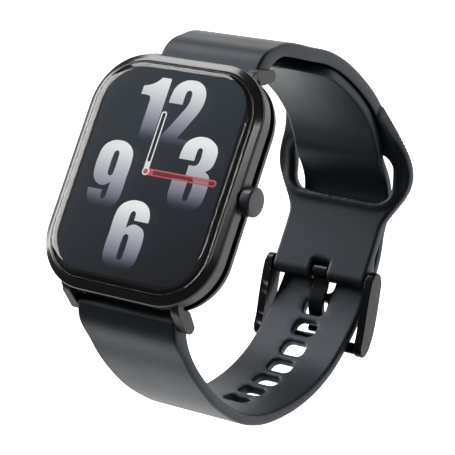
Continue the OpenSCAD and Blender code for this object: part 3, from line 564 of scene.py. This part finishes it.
pocket_build = bmesh.new()
add_turned(pocket_build, [(-0.45, crown_r + 0.25), (4, crown_r + 0.25)], (case_half_w, crown_y, crown_z), 1)
bmesh.ops.recalc_face_normals(pocket_build, faces=pocket_build.faces)
pocket_mesh = bpy.data.meshes.new("pocket_cutter")
pocket_build.to_mesh(pocket_mesh)
pocket_build.free()
pocket = bpy.data.objects.new("pocket_cutter", pocket_mesh)
bpy.context.scene.collection.objects.link(pocket)
pocket.hide_render = pocket.hide_viewport = True


def cut_pocket(piece):
    cut = piece.modifiers.new("crown_pocket", "BOOLEAN")
    cut.object, cut.operation, cut.solver = pocket, "DIFFERENCE", "EXACT"
    piece.modifiers.move(len(piece.modifiers) - 1, 0)


gloss_black = surface("gloss_black_coat", (0.004, 0.004, 0.005), 0.16, 0.0, grain_scale=5000, depth=0.00001)
bezel_build = bmesh.new()
add_swept(bezel_build, softened([(spigot_in, edge_z + 0.02), (0, edge_z + 0.02), (0.1, edge_z + 0.35),
                                (bezel_lean - 0.15, rim_z - 0.12),
                                 (bezel_lean + rim_t, rim_z), (bezel_lean + rim_t, glass_z - 0.1),
                                 (wall_t, glass_z - 0.1), (wall_t, glass_z - 0.7), (spigot_in, glass_z - 0.7)], 0.12))
bezel = made("bezel_skin", bezel_build, gloss_black)
cut_pocket(bezel)
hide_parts("bezel")


# ---- Cover glass: one clear sheet, ground to a soft shoulder ----
# Hardened glass, flat in the middle, with its edges ground and polished into a rounded shoulder.
# It is bonded to the bezel's ledge and lies over the printed mask and the display.
glass_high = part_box("cover_glass")[1]
glass_in, shoulder_w = case_half_w - glass_high.x / MM, 2.4
glass_top = glass_high.z / MM


def glass_material():
    """Clear glass without bending the light: a mirror-like skin over what lies below."""
    m = bpy.data.materials.new("clear_glass")
    m.use_nodes = True
    n, l = m.node_tree.nodes, m.node_tree.links
    n.remove(n["Principled BSDF"])
    clear, shine, both, edge = (n.new(k) for k in ("ShaderNodeBsdfTransparent", "ShaderNodeBsdfGlossy",
                                "ShaderNodeMixShader", "ShaderNodeFresnel"))
    edge.inputs["IOR"].default_value = 1.5
    where, smear, sheen = n.new("ShaderNodeTexCoord"), n.new("ShaderNodeTexNoise"), n.new("ShaderNodeMapRange")
    smear.inputs["Scale"].default_value = 120
    sheen.inputs["To Min"].default_value, sheen.inputs["To Max"].default_value = 0.05, 0.07
    l.new(where.outputs["Object"], smear.inputs["Vector"])
    l.new(smear.outputs["Fac"], sheen.inputs["Value"])
    l.new(sheen.outputs["Result"], shine.inputs["Roughness"])
    l.new(edge.outputs["Fac"], both.inputs["Fac"])
    l.new(clear.outputs["BSDF"], both.inputs[1])
    l.new(shine.outputs["BSDF"], both.inputs[2])
    l.new(both.outputs["Shader"], n["Material Output"].inputs["Surface"])
    return m


shoulder = [(glass_in + shoulder_w * (1 - math.cos(math.radians(a))),
            rim_z + (glass_top - rim_z) * math.sin(math.radians(a)))
            for a in range(0, 91, 5)]
glass_build = bmesh.new()
add_swept(glass_build, [(glass_in + 0.6, glass_z + 0.06), (glass_in + 0.06, glass_z + 0.06), (glass_in,
                        glass_z + 0.14)] + shoulder
          + [(glass_in + shoulder_w + 0.5, glass_top)], False)
glass = made("cover_glass_skin", glass_build, glass_material(), even=False)
for face in glass.data.polygons:
    face.use_smooth = len(face.vertices) == 4
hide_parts("cover_glass")


# ---- Mask: the black print round the picture ----
# Opaque black ink, screen-printed on the underside of the glass with a round-cornered window for the picture.
# It hides the bond line and the display's edge.
lit_x0, lit_x1, lit_y0, lit_y1, lit_r = -15.5, 14.95, -19.2, 19.95, 5.9
ink = surface("mask_ink", (0.0025, 0.0025, 0.003), 0.5, 0.02)
ink.node_tree.nodes["Principled BSDF"].inputs["Specular IOR Level"].default_value = 0.05
mask_build = bmesh.new()
outer = [mask_build.verts.new((x * MM, y * MM, (glass_z + 0.05) * MM)) for x, y in case_loop(glass_in + 0.1, 8, 1)]
inner = [mask_build.verts.new((x * MM, y * MM, (glass_z + 0.05) * MM))
         for x, y in round_box((lit_x0 + lit_x1) / 2, (lit_y0 + lit_y1) / 2, lit_x1 - lit_x0, lit_y1 - lit_y0,
                               lit_r, 8)]
for i in range(len(outer)):
    j = (i + 1) % len(outer)
    mask_build.faces.new((outer[i], outer[j], inner[j], inner[i]))
mask = made("glass_mask", mask_build, ink, even=False)


# ---- Picture: the lit display's ground ----
# The display panel's lit face: a slate ground that darkens from the upper left to the lower right.
# It sits just under the mask's window, bonded to the glass.
picture_z = glass_z + 0.02


def light_material(name, colours, clear=None):
    """A lit patch of the display: a ramp of colours from its foot to its head, faded out where clear says."""
    m = bpy.data.materials.new(name)
    m.use_nodes = True
    n, l = m.node_tree.nodes, m.node_tree.links
    shader = n["Principled BSDF"]
    shader.inputs["Base Color"].default_value = (0, 0, 0, 1)
    shader.inputs["Roughness"].default_value = 0.6
    shader.inputs["Emission Strength"].default_value = 1.0
    shader.inputs["Specular IOR Level"].default_value = 0.0
    rise, ramp = n.new("ShaderNodeAttribute"), n.new("ShaderNodeValToRGB")
    rise.attribute_name = "rise"
    l.new(rise.outputs["Fac"], ramp.inputs["Fac"])
    stops = ramp.color_ramp.elements
    while len(stops) < len(colours):
        stops.new(0.5)
    for stop, (at, colour) in zip(stops, colours):
        stop.position, stop.color = at, (*colour, 1)
    l.new(ramp.outputs["Color"], shader.inputs["Emission Color"])
    if clear:
        fade = n.new("ShaderNodeMapRange")
        fade.inputs["From Min"].default_value, fade.inputs["From Max"].default_value = clear
        fade.interpolation_type = "SMOOTHSTEP"
        see, both = n.new("ShaderNodeBsdfTransparent"), n.new("ShaderNodeMixShader")
        l.new(rise.outputs["Fac"], fade.inputs["Value"])
        l.new(fade.outputs["Result"], both.inputs["Fac"])
        l.new(see.outputs["BSDF"], both.inputs[1])
        l.new(shader.outputs["BSDF"], both.inputs[2])
        l.new(both.outputs["Shader"], n["Material Output"].inputs["Surface"])
    return m


slate = light_material("display_slate", [(0.02, (0.0055, 0.0068, 0.0105)), (0.45, (0.0165, 0.0225, 0.0310)),
                       (0.95, (0.0300, 0.0410, 0.0520))])


def flat_piece(name, loops, z, material, toward=(0.0, 1.0)):
    """A flat patch of the picture, cut to closed loops of (x, y, is it a corner). Later loops are holes. Its vertices carry
    how far they have risen from its foot to its head, for the ramp."""
    curve = bpy.data.curves.new(name, "CURVE")
    curve.dimensions, curve.fill_mode, curve.resolution_u = "2D", "BOTH", 10
    for loop in loops:
        spline = curve.splines.new("BEZIER")
        spline.bezier_points.add(len(loop) - 1)
        spline.use_cyclic_u = True
        for point, (x, y, corner) in zip(spline.bezier_points, loop):
            point.co = (x * MM, y * MM, 0)
            point.handle_left_type = point.handle_right_type = "VECTOR" if corner else "AUTO"
    shape = bpy.data.objects.new(name + "_curve", curve)
    bpy.context.scene.collection.objects.link(shape)
    bpy.context.view_layer.update()
    mesh = bpy.data.meshes.new_from_object(shape)
    bpy.data.objects.remove(shape)
    mesh.name = name
    climb = np.array([v.co.x * toward[0] + v.co.y * toward[1] for v in mesh.vertices])
    rise = mesh.attributes.new("rise", "FLOAT", "POINT")
    rise.data.foreach_set("value", ((climb - climb.min()) / np.ptp(climb)).astype(np.float32))
    piece = bpy.data.objects.new(name, mesh)
    bpy.context.scene.collection.objects.link(piece)
    piece.location.z = z * MM
    mesh.materials.clear()
    mesh.materials.append(material)
    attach(piece, "watch")
    return piece


def bar_loop(x0, x1, y0, y1, r):
    """A bar with round ends or corners, as a loop of corner points close together."""
    return [(x, y, True) for x, y in round_box((x0 + x1) / 2, (y0 + y1) / 2, x1 - x0, y1 - y0, r, 10)]


flat_piece("display_ground", [bar_loop(lit_x0 - 0.3, lit_x1 + 0.3, lit_y0 - 0.3, lit_y1 + 0.3, lit_r)],
           picture_z, slate, (-0.45, 0.89))


# ---- Numerals: 12, 3, 6 and 9 ----
# Heavy condensed figures drawn by the display, white at their heads and fading away towards their feet.
# Each is a flat patch just above the slate ground.
numeral_z = picture_z + 0.008
numeral_light = light_material("numeral_light", [(0.0, (0.10, 0.11, 0.15)), (0.30, (0.24, 0.25, 0.31)), (0.62,
                                                (0.58, 0.59, 0.64)), (0.92, (0.93, 0.94, 0.95))],
                               clear=(0.0, 0.30))
figures = {
    "numeral_one": [[(-2.33, 18.35, 1), (-4.4, 18.35, 1), (-4.95, 17.7, 0), (-6.0, 16.95, 0), (-7.9, 16.3, 1),
                    (-7.9, 14.7, 1), (-6.3, 14.65, 0),
                     (-5.75, 14.4, 0), (-5.6, 13.7, 1), (-5.6, 5.9, 1), (-2.33, 5.9, 1)]],
    "numeral_two": [[(2.3, 18.67, 0), (0.2, 18.1, 0), (-1.0, 16.8, 0), (-1.4, 15.0, 1), (-1.4, 13.9, 1), (1.6,
                     13.9, 1), (1.6, 15.7, 1),
                     (1.75, 16.4, 0), (2.3, 16.68, 0), (2.85, 16.4, 0), (3.0, 15.6, 0), (2.85, 14.0, 0), (2.1,
                                                12.5, 0), (-1.35, 6.6, 1),
                     (-1.35, 5.7, 1), (5.0, 5.7, 1), (5.0, 7.55, 1), (2.7, 7.55, 1), (4.9, 11.6, 0), (5.75,
                                                13.4, 0), (6.05, 15.4, 0),
                     (5.6, 17.1, 0), (4.4, 18.25, 0)]],
    "numeral_three": [[(8.4, 8.67, 0), (6.2, 8.1, 0), (4.95, 6.9, 0), (4.58, 5.0, 1), (4.58, 4.08, 1), (7.87,
                       4.08, 1), (7.87, 5.7, 1),
                       (8.0, 6.35, 0), (8.45, 6.6, 0), (8.9, 6.35, 0), (9.04, 5.7, 0), (9.0, 4.0, 0), (8.6,
                                                3.35, 0), (7.08, 3.17, 1),
                       (7.08, 1.25, 1), (8.5, 1.05, 0), (9.04, 0.2, 0), (9.04, -2.5, 0), (8.9, -3.15,
                                                0), (8.45, -3.4, 0), (8.0, -3.15, 0),
                       (7.87, -2.5, 1), (7.87, 0.35, 1), (4.58, 0.35, 1), (4.58, -2.2, 1), (4.95, -3.7,
                                                0), (6.2, -4.9, 0), (8.4, -5.3, 0),
                       (10.6, -4.9, 0), (11.9, -3.7, 0), (12.3, -2.0, 0), (12.3, 0.4, 0), (11.9, 1.75,
                                                0), (10.85, 2.45, 1), (11.8, 3.3, 0),
                       (12.2, 4.8, 0), (11.9, 6.9, 0), (10.6, 8.1, 0)]],
    "numeral_six": [[(-1.1, -4.9, 0), (-3.3, -5.5, 0), (-4.5, -6.7, 0), (-4.87, -8.4, 0), (-4.87, -11.5, 0),
                    (-4.87, -14.6, 0), (-4.5, -16.4, 0),
                     (-3.3, -17.6, 0), (-1.1, -18.0, 0), (1.1, -17.6, 0), (2.3, -16.4, 0), (2.67, -14.6,
                                                0), (2.67, -11.6, 0), (2.2, -10.2, 0),
                     (0.9, -9.45, 0), (-0.4, -9.35, 0), (-1.7, -10.15, 1), (-1.7, -7.9, 1), (-1.55, -7.2,
                                                0), (-1.08, -6.9, 0), (-0.6, -7.2, 0),
                     (-0.46, -7.9, 1), (-0.46, -8.6, 1), (2.67, -8.6, 1), (2.5, -7.2, 0), (1.4, -5.6, 0)],
                    [(-1.08, -11.25, 0), (-1.6, -11.6, 0), (-1.7, -12.3, 0), (-1.7, -15.0, 0), (-1.6, -15.8,
                     0), (-1.08, -16.1, 0),
                     (-0.56, -15.8, 0), (-0.46, -15.0, 0), (-0.46, -12.3, 0), (-0.56, -11.6, 0)]],
    "numeral_nine": [[(-8.9, 5.46, 0), (-11.1, 4.9, 0), (-12.25, 3.7, 0), (-12.6, 2.0, 0), (-12.6, -0.4, 0),
                     (-12.1, -2.2, 0), (-10.9, -3.15, 0),
                      (-9.6, -3.3, 0), (-8.25, -2.55, 1), (-8.25, -4.9, 1), (-8.4, -5.55, 0), (-8.85, -5.8,
                                                0), (-9.3, -5.55, 0),
                      (-9.45, -4.9, 1), (-9.45, -4.17, 1), (-12.6, -4.17, 1), (-12.3, -5.7, 0), (-11.1, -7.1,
                                                0), (-8.9, -7.7, 0),
                      (-6.7, -7.1, 0), (-5.5, -5.9, 0), (-5.12, -4.0, 0), (-5.12, -1.2, 0), (-5.12, 2.0,
                                                0), (-5.5, 3.7, 0), (-6.7, 4.9, 0)],
                     [(-8.87, 3.5, 0), (-9.38, 3.15, 0), (-9.5, 2.4, 0), (-9.5, -0.3, 0), (-9.38, -1.05, 0),
                      (-8.87, -1.35, 0), (-8.36, -1.05, 0),
                      (-8.25, -0.3, 0), (-8.25, 2.4, 0), (-8.36, 3.15, 0)]],
}
for name, loops in figures.items():
    flat_piece(name, loops, numeral_z, numeral_light)


# ---- Hands: the hour and minute bars and their hub ----
# Drawn by the display over the numerals: a white outlined hour bar, a red outlined minute bar that is
# faintly filled, and a red hub on a pale ring.
hub_x, hub_y, line_w = -1.48, 0.66, 0.27
white_light = light_material("hand_white", [(0, (0.80, 0.81, 0.83)), (1, (0.88, 0.89, 0.90))])
red_light = light_material("hand_red", [(0, (0.52, 0.085, 0.105)), (1, (0.60, 0.12, 0.14))])
red_tint = light_material("hand_tint", [(0, (0.30, 0.03, 0.045)), (1, (0.30, 0.03, 0.045))], clear=(-1.6, 2.4))
dark_bar = light_material("hand_dark", [(0, (0.012, 0.013, 0.017)), (1, (0.014, 0.016, 0.020))], clear=(-2.2, 1.6))
hour_x = hub_x - 0.06
hour_outer = (hour_x - 0.6, hour_x + 0.6, hub_y - 0.1, 12.15)
flat_piece("hour_hand_fill", [bar_loop(hour_outer[0] + 0.2, hour_outer[1] - 0.2, 2.4, 11.95, 0.38)],
           numeral_z + 0.005, dark_bar)
flat_piece("hour_hand", [bar_loop(*hour_outer, 0.55), bar_loop(hour_outer[0] + line_w, hour_outer[1] - line_w,
                         2.5, 12.15 - line_w, 0.3)],
           numeral_z + 0.01, white_light)
minute_outer = (hub_x, 13.9, hub_y - 0.66, hub_y + 0.62)
flat_piece("minute_hand_fill", [bar_loop(minute_outer[0] + 0.2, minute_outer[1] - 0.2, minute_outer[2] + 0.2,
                                minute_outer[3] - 0.2, 0.4)],
           numeral_z + 0.014, red_tint)
flat_piece("minute_hand", [bar_loop(*minute_outer, 0.62),
                           bar_loop(0.1, minute_outer[1] - line_w, minute_outer[2] + line_w,
                                    minute_outer[3] - line_w, 0.36)],
           numeral_z + 0.018, red_light)
flat_piece("hub_ring", [bar_loop(hub_x - 0.75, hub_x + 0.75, hub_y - 0.75, hub_y + 0.75, 0.74)],
           numeral_z + 0.022, white_light)
flat_piece("hub_dot", [bar_loop(hub_x - 0.52, hub_x + 0.52, hub_y - 0.52, hub_y + 0.52, 0.51)],
           numeral_z + 0.026, red_light)


# ---- Middle case: the outer wall and its four lugs ----
# Die-cast and machined aluminium, bead-blasted and anodised near black, satin. The lugs are cast in one
# with the wall and hold the spring bars' tips; the crown sits in a shallow round pocket.
wall_z = edge_z - 2.8
satin_case = surface("satin_case", (0.030, 0.031, 0.033), 0.38, 0.35, metal=0.6, grain_scale=14000, depth=0.00003)
lug_inner, lug_w, lug_r = strap_half + 0.15, 1.9, 1.3
wall_build = bmesh.new()
add_swept(wall_build, softened([(wall_t, wall_z), (0.3, wall_z), (0.0, edge_z - 0.1), (0.1, edge_z),
                               (spigot_in, edge_z),
                                (spigot_in, glass_z - 0.75), (wall_t, glass_z - 0.75)], 0.15))
wall = made("middle_case_skin", wall_build, satin_case)
cut_pocket(wall)
lug_build = bmesh.new()
lug_side = [(case_half_l - 2.4, edge_z - 0.5), (bar_y - 1.1, edge_z - 1.5)]
lug_side += [(bar_y + lug_r * math.cos(math.radians(a)),
             bar_z + lug_r * math.sin(math.radians(a))) for a in range(38, -111, -8)]
lug_side += [(case_half_l - 1.35, wall_z - 2.2), (case_half_l - 1.35, wall_z - 0.7), (case_half_l - 0.75,
             wall_z), (case_half_l - 2.4, wall_z)]
for end in (-1, 1):
    for side in (-1, 1):
        outline = softened([(end * y, z) for y, z in lug_side], 0.7)
        add_slab(lug_build, outline, side * lug_inner, side * (lug_inner + lug_w), 0.4)
lugs = made("lug_skins", lug_build, satin_case)
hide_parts("middle_case")


# ---- Crown cap: the round push button's head ----
# Turned aluminium with a broken edge and a flat satin face, anodised black and pressed on the stem.
# It turns and is pressed in by 0.4 mm.
crown_finish = surface("crown_satin", (0.050, 0.052, 0.056), 0.34, 0.3, metal=0.85, grain_scale=12000, depth=0.00002)
cap_build = bmesh.new()
cap_x0, cap_x1 = crown_low.x / MM, crown_high.x / MM
add_turned(cap_build, [tuple(q) for q in softened([(0, 0.7), (0, crown_r - 0.15), (0.15, crown_r),
                                                (cap_x1 - cap_x0 - 0.28, crown_r),
                                                  (cap_x1 - cap_x0, crown_r - 0.28), (cap_x1 - cap_x0,
                                                0.5)], 0.12, False)],
           (cap_x0, crown_y, crown_z), 1)
cap = made("crown_cap_skin", cap_build, crown_finish, "crown")
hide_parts("crown_cap")


# ---- Buckle frame: the U-shaped loop ----
# Stainless steel, stamped and milled, polished and coated black. Two flat arms turn on the buckle's pin
# and meet in a crossbar that the tongue rests against.
black_steel = surface("black_steel", (0.020, 0.021, 0.023), 0.24, 0.12, metal=0.9, grain_scale=8000, depth=0.00001)
frame_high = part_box("buckle_frame")[1]
frame_half, arm_t, arm_h, bar_t, crossbar_w = frame_high.x / MM, 1.8, 4.6, 2.2, 2.3
crossbar_s, crossbar_up = tongue_at - 5.6, -(tail_t / 2 + 0.35 + bar_t / 2)
crossbar = bottom_path.at(crossbar_s) + crossbar_up * turned(bottom_path.along(crossbar_s), -1)
pin_at = np.array((pin_y, pin_z))


def band(line, halves):
    """The outline of a strip along a line, with round ends."""
    line = np.array(line)
    d = np.gradient(line, axis=0)
    d /= np.linalg.norm(d, axis=1)[:, None]
    side = np.c_[d[:, 1], -d[:, 0]]
    right, left = line + side * np.array(halves)[:, None], line - side * np.array(halves)[:, None]

    def cap_at(c, r, start):
        return [c + r * np.array((math.cos(start + math.radians(a)),
                                 math.sin(start + math.radians(a)))) for a in range(15, 180, 15)]

    return [tuple(p) for p in list(right) + cap_at(line[-1], halves[-1], math.atan2(side[-1][1], side[-1][0]))
            + list(left[::-1]) + cap_at(line[0], halves[0], math.atan2(-side[0][1], -side[0][0]))]


span = crossbar - pin_at
arm_line = Path([pin_at, pin_at + 0.4 * span + (0, -0.3), pin_at + 0.75 * span + (0, -0.5), crossbar], 6).line
arm_eye = eye_r - 0.1
arm_halves = [arm_eye + (arm_h / 2 - arm_eye) * math.sin(math.pi * (k / (len(arm_line) - 1)) ** 0.8) - 0.35 * k / (len(arm_line) - 1)
              for k in range(len(arm_line))]
frame_build = bmesh.new()
for side in (-1, 1):
    add_slab(frame_build, band(arm_line, arm_halves), side * (frame_half - arm_t), side * frame_half, 0.3)
tilt = math.atan2(span[1], span[0])
corners = [(sy * crossbar_w / 2, sz * bar_t / 2) for sy, sz in ((1, 1), (-1, 1), (-1, -1), (1, -1))]
cross_outline = [(crossbar[0] + y * math.cos(tilt) - z * math.sin(tilt),
                 crossbar[1] + y * math.sin(tilt) + z * math.cos(tilt))
                 for y, z in softened(corners, 0.5)]
add_slab(frame_build, cross_outline, -frame_half + 0.5, frame_half - 0.5, 0.1)
buckle_frame = made("buckle_frame_skin", frame_build, black_steel, "frame")
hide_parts("buckle_frame")


# ---- Buckle tongue: the prong ----
# Bent from a black-coated stainless strip and rolled into an eye round the pin. It runs over the strap's
# inner face, down through a hole, and stops at the crossbar.
tongue_half, tongue_t = 1.7, 0.9
level = tail_t / 2 + 0.2 + tongue_t / 2
steps = ((6.6, level + 1.25), (4.6, level + 0.35), (2.8, level + 0.05), (1.35, level - 0.2), (0.35, 0.75),
         (-0.3, -0.1), (-0.9, -1),
         (-1.75, -2.1), (-2.5, -2.75), (-3.3, -3))
tongue_line = Path([bottom_path.at(tongue_at + s) + up * turned(bottom_path.along(tongue_at + s), -1) for s,
                   up in steps], 5).line
tongue_build = bmesh.new()
add_slab(tongue_build, band(tongue_line, [tongue_t / 2] * len(tongue_line)), -tongue_half, tongue_half, 0.25)
eye_outline = [(pin_y + 1.45 * math.cos(math.radians(a)),
               pin_z + 1.45 * math.sin(math.radians(a))) for a in range(0, 360, 15)]
add_slab(tongue_build, eye_outline, -tongue_half, tongue_half, 0.25)
tongue_piece = made("buckle_tongue_skin", tongue_build, black_steel, "tongue")
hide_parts("buckle_tongue")


def painted(names, material):
    """Gives CAD pieces a finish."""
    for name in names:
        piece = nodes[name]
        piece.data.materials.clear()
        piece.data.materials.append(material)


nylon = surface("black_nylon", (0.012, 0.012, 0.013), 0.55, 0.4, grain_scale=7000)
smoked = surface("smoked_window", (0.004, 0.004, 0.005), 0.08, 0.01)
gold = surface("gold_plate", (0.80, 0.52, 0.18), 0.22, 0.05, metal=1.0)
steel = surface("bright_steel", (0.55, 0.55, 0.56), 0.28, 0.15, metal=1.0, grain_scale=6000, depth=0.00001)
painted(["back_cover"], satin_case)
painted(["sensor_window"], smoked)
painted(["charge_contacts"], gold)
painted(["back_screws"], black_steel)


# ---- Spring bars, pin and button parts ----
# Drawn stainless tube, turned tips and a hard-drawn coil; a ground steel pin; and the crown's turned stem,
# bush, clip and nylon washer with its rubber ring.
nylon_white = surface("white_nylon", (0.72, 0.72, 0.70), 0.5, 0.2)
rubber = surface("black_rubber", (0.012, 0.012, 0.012), 0.65, 0.3)
painted([end + part for end in ("top", "bottom") for part in ("_bar_tube", "_bar_tip", "_bar_release",
         "_bar_spring")], steel)
painted(["buckle_pin", "crown_stem", "crown_bush", "crown_clip"], steel)
painted(["crown_washer", "switch_plunger"], nylon_white)
painted(["crown_o_ring", "back_gasket"], rubber)
painted(["switch_body"], nylon)


# ---- Inside: display stack, boards, battery and motor ----
# The panel and its foil backing, the ribbon, the bracket, the green board with its can and chips, the
# foil-wrapped battery, the coin motor, and the sensor board with its lamps.
painted(["glass_adhesive"], rubber)
painted(["display_panel"], surface("panel_black", (0.006, 0.006, 0.010), 0.3, 0.05))
painted(["panel_backing", "battery", "shield_can", "motor_can", "motor_base"],
        surface("thin_metal", (0.50, 0.50, 0.51), 0.35, 0.2, metal=1.0))
painted(["display_flex", "antenna_strip"], surface("amber_film", (0.42, 0.20, 0.05), 0.35, 0.1))
painted(["inner_bracket"], surface("grey_bracket", (0.06, 0.06, 0.065), 0.45, 0.3, metal=0.7))
painted(["main_board", "sensor_board"], surface("green_board", (0.01, 0.10, 0.045), 0.4, 0.15))
painted(["board_chips"], surface("chip_resin", (0.015, 0.015, 0.017), 0.5, 0.2))
painted(["motor_weight"], surface("sintered_tungsten", (0.30, 0.29, 0.28), 0.5, 0.3, metal=1.0))
painted(["sensor_leds"], surface("lamp_resin", (0.35, 0.65, 0.30), 0.25, 0.05))
painted(["photodiodes"], surface("diode_face", (0.04, 0.03, 0.06), 0.2, 0.05))
painted(["charge_magnets"], surface("nickel_plate", (0.62, 0.60, 0.56), 0.25, 0.1, metal=1.0))
